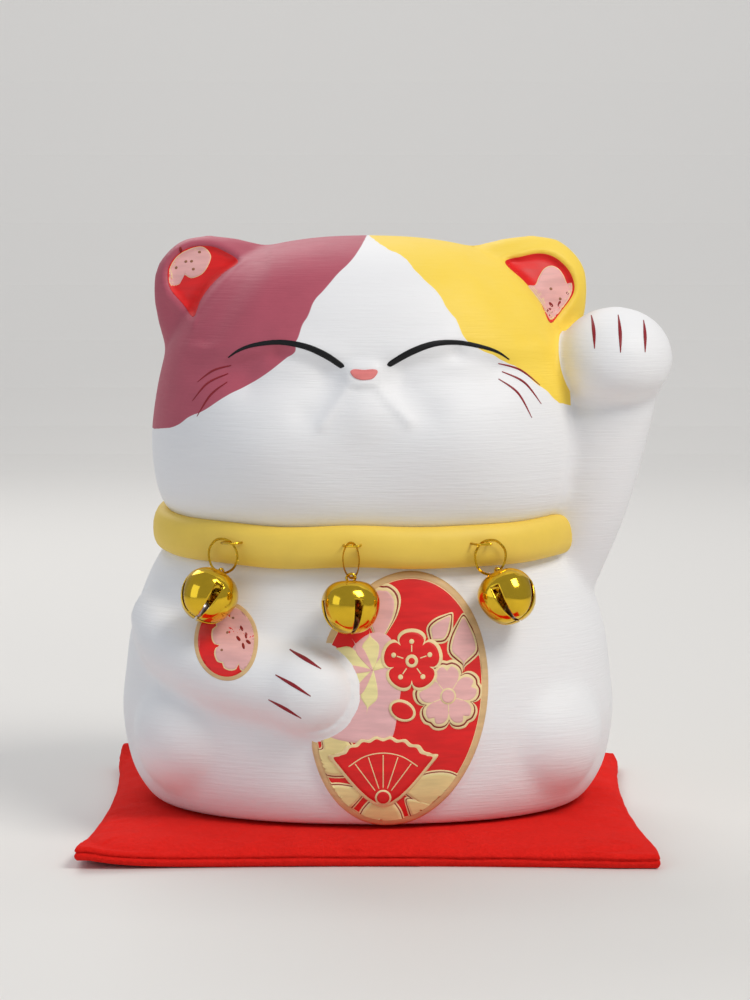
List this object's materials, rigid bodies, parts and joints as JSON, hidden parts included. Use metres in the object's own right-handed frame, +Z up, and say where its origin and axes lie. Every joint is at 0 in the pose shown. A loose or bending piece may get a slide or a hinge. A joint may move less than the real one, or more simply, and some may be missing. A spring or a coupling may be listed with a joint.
{
  "type": "ceramic cat figurine",
  "caption": "Hollow ceramic beckoning cat, one paw raised, sitting on a square red felt cushion, with small jingle bells on its collar.",
  "frame": {"origin": "centre of the cushion's underside", "axes": "+Z up, the cat faces -Y, +X to the viewer's right, which is the side of the raised paw"},
  "size_m": [0.1776, 0.17, 0.1824],
  "materials": {
    "clay": "matt, brushed with acrylic colours",
    "felt": "fuzzy red felt",
    "wadding": "loose polyester wadding",
    "rubber": "soft moulded",
    "gilt": "bright gold plate",
    "steel": "plain"
  },
  "bodies": {
    "cushion": {"cushion_cover_base": "felt", "cushion_wadding": "wadding", "cushion_cover_top": "felt"},
    "cat": {"cat_shell": "clay", "eyelet_left": "gilt", "eyelet_middle": "gilt", "eyelet_right": "gilt"},
    "stopper": {"base_stopper": "rubber"},
    "ring_left": {"ring_left": "gilt"},
    "bell_left": {"bell_shell_left": "gilt", "bell_loop_left": "gilt"},
    "pea_left": {"pea_left": "steel"},
    "ring_middle": {"ring_middle": "gilt"},
    "bell_middle": {"bell_shell_middle": "gilt", "bell_loop_middle": "gilt"},
    "pea_middle": {"pea_middle": "steel"},
    "ring_right": {"ring_right": "gilt"},
    "bell_right": {"bell_shell_right": "gilt", "bell_loop_right": "gilt"},
    "pea_right": {"pea_right": "steel"}
  },
  "joints": [
    {"name": "cat_lift", "type": "slide", "parent": "cushion", "child": "cat", "axis": [0, 0, 1], "range_m": [0, 0.08]},
    {"name": "stopper_pull", "type": "slide", "parent": "cat", "child": "stopper", "axis": [0, 0, -1], "range_m": [0, 0.02]},
    {"name": "ring_swing_left", "type": "hinge", "parent": "cat", "child": "ring_left", "pos_m": [-0.04274, -0.0526, 0.0917], "axis": [0.5193, 0.8546, 0], "range_deg": [-8, 28]},
    {"name": "bell_swing_left", "type": "hinge", "parent": "ring_left", "child": "bell_left", "pos_m": [-0.04345, -0.05216, 0.08259], "axis": [-0.8482, 0.5154, 0.1219], "range_deg": [0, 40]},
    {"name": "pea_roll_left", "type": "hinge", "parent": "bell_left", "child": "pea_left", "pos_m": [-0.04647, -0.05582, 0.07704], "axis": [0.8482, -0.5154, -0.1219], "range_deg": [-70, 70]},
    {"name": "ring_swing_middle", "type": "hinge", "parent": "cat", "child": "ring_middle", "pos_m": [-0.00472, -0.06425, 0.0917], "axis": [-0.9982, 0.0595, 0], "range_deg": [0, 45]},
    {"name": "bell_swing_middle", "type": "hinge", "parent": "ring_middle", "child": "bell_middle", "pos_m": [-0.00482, -0.06591, 0.0827], "axis": [-0.4595, -0.8724, 0.1665], "range_deg": [0, 35]},
    {"name": "pea_roll_middle", "type": "hinge", "parent": "bell_middle", "child": "pea_middle", "pos_m": [-0.0049, -0.06724, 0.07552], "axis": [0.4595, 0.8724, -0.1665], "range_deg": [-70, 70]},
    {"name": "ring_swing_right", "type": "hinge", "parent": "cat", "child": "ring_right", "pos_m": [0.03608, -0.05588, 0.0917], "axis": [-0.432, 0.9019, 0], "range_deg": [-28, 8]},
    {"name": "bell_swing_right", "type": "hinge", "parent": "ring_right", "child": "bell_right", "pos_m": [0.03836, -0.05479, 0.08311], "axis": [-0.8951, -0.4288, -0.1219], "range_deg": [0, 40]},
    {"name": "pea_roll_right", "type": "hinge", "parent": "bell_right", "child": "pea_right", "pos_m": [0.04083, -0.05825, 0.07718], "axis": [0.8951, 0.4288, 0.1219], "range_deg": [-70, 70]}
  ],
  "couplings": [
    {"joint": "stopper_pull", "follows": "cat_lift", "ratio": 0.25}
  ]
}
